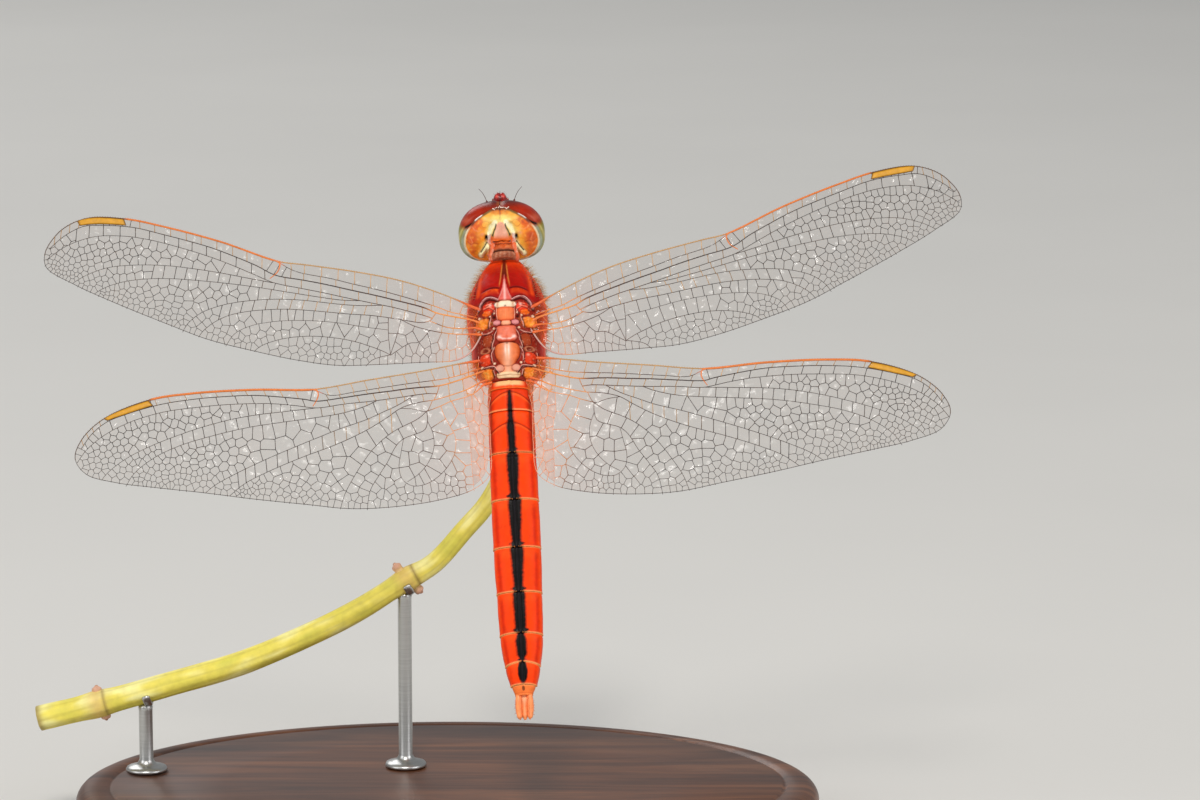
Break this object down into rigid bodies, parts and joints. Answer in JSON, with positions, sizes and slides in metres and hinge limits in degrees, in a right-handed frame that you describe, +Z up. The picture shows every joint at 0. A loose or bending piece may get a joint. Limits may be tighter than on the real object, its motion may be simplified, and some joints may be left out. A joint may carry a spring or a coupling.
{
  "type": "scarlet skimmer dragonfly on a display stand",
  "caption": "Life-size male scarlet skimmer dragonfly with spread veined wings, head up, gripping a short cut stem held over an oval display base by thin rods.",
  "frame": {"origin": "centre of the underside of the stand's oval base", "axes": "+Z up, from the base to the insect's head; +X to the insect's right and along the base's length; the insect's back faces -Y"},
  "size_m": [0.0744, 0.042, 0.0544],
  "materials": {
    "thorax": null,
    "abdomen": null,
    "tail_tip": null,
    "eyes": null,
    "face": null,
    "head": null,
    "antennae": null,
    "wings": null,
    "legs": null,
    "stem": "yellow-green live stem, matte, with small pinkish buds",
    "stand_base": "dark stained wood, satin",
    "stand_rods": "satin"
  },
  "bodies": {
    "root": {"abdomen_s1": "abdomen", "abdomen_s10": "abdomen", "abdomen_s2": "abdomen", "abdomen_s3": "abdomen", "abdomen_s4": "abdomen", "abdomen_s5": "abdomen", "abdomen_s6": "abdomen", "abdomen_s7": "abdomen", "abdomen_s8": "abdomen", "abdomen_s9": "abdomen", "antenna_left": "antennae", "antenna_right": "antennae", "cercus_left": "tail_tip", "cercus_right": "tail_tip", "clypeus": "face", "epiproct": "tail_tip", "eye_left": "eyes", "eye_right": "eyes", "foreleg_femur_left": "legs", "foreleg_femur_right": "legs", "foreleg_tarsus_left": "legs", "foreleg_tarsus_right": "legs", "foreleg_tibia_left": "legs", "foreleg_tibia_right": "legs", "forewing_left": "wings", "forewing_right": "wings", "frons": "face", "head": "head", "hindleg_femur_left": "legs", "hindleg_femur_right": "legs", "hindleg_tarsus_left": "legs", "hindleg_tarsus_right": "legs", "hindleg_tibia_left": "legs", "hindleg_tibia_right": "legs", "hindwing_left": "wings", "hindwing_right": "wings", "labium": "head", "labrum": "face", "midleg_femur_left": "legs", "midleg_femur_right": "legs", "midleg_tarsus_left": "legs", "midleg_tarsus_right": "legs", "midleg_tibia_left": "legs", "midleg_tibia_right": "legs", "perch_stem": "stem", "prothorax": "thorax", "stand_base": "stand_base", "stand_rod_short": "stand_rods", "stand_rod_tall": "stand_rods", "thorax": "thorax", "vertex": "face"}
  },
  "joints": []
}
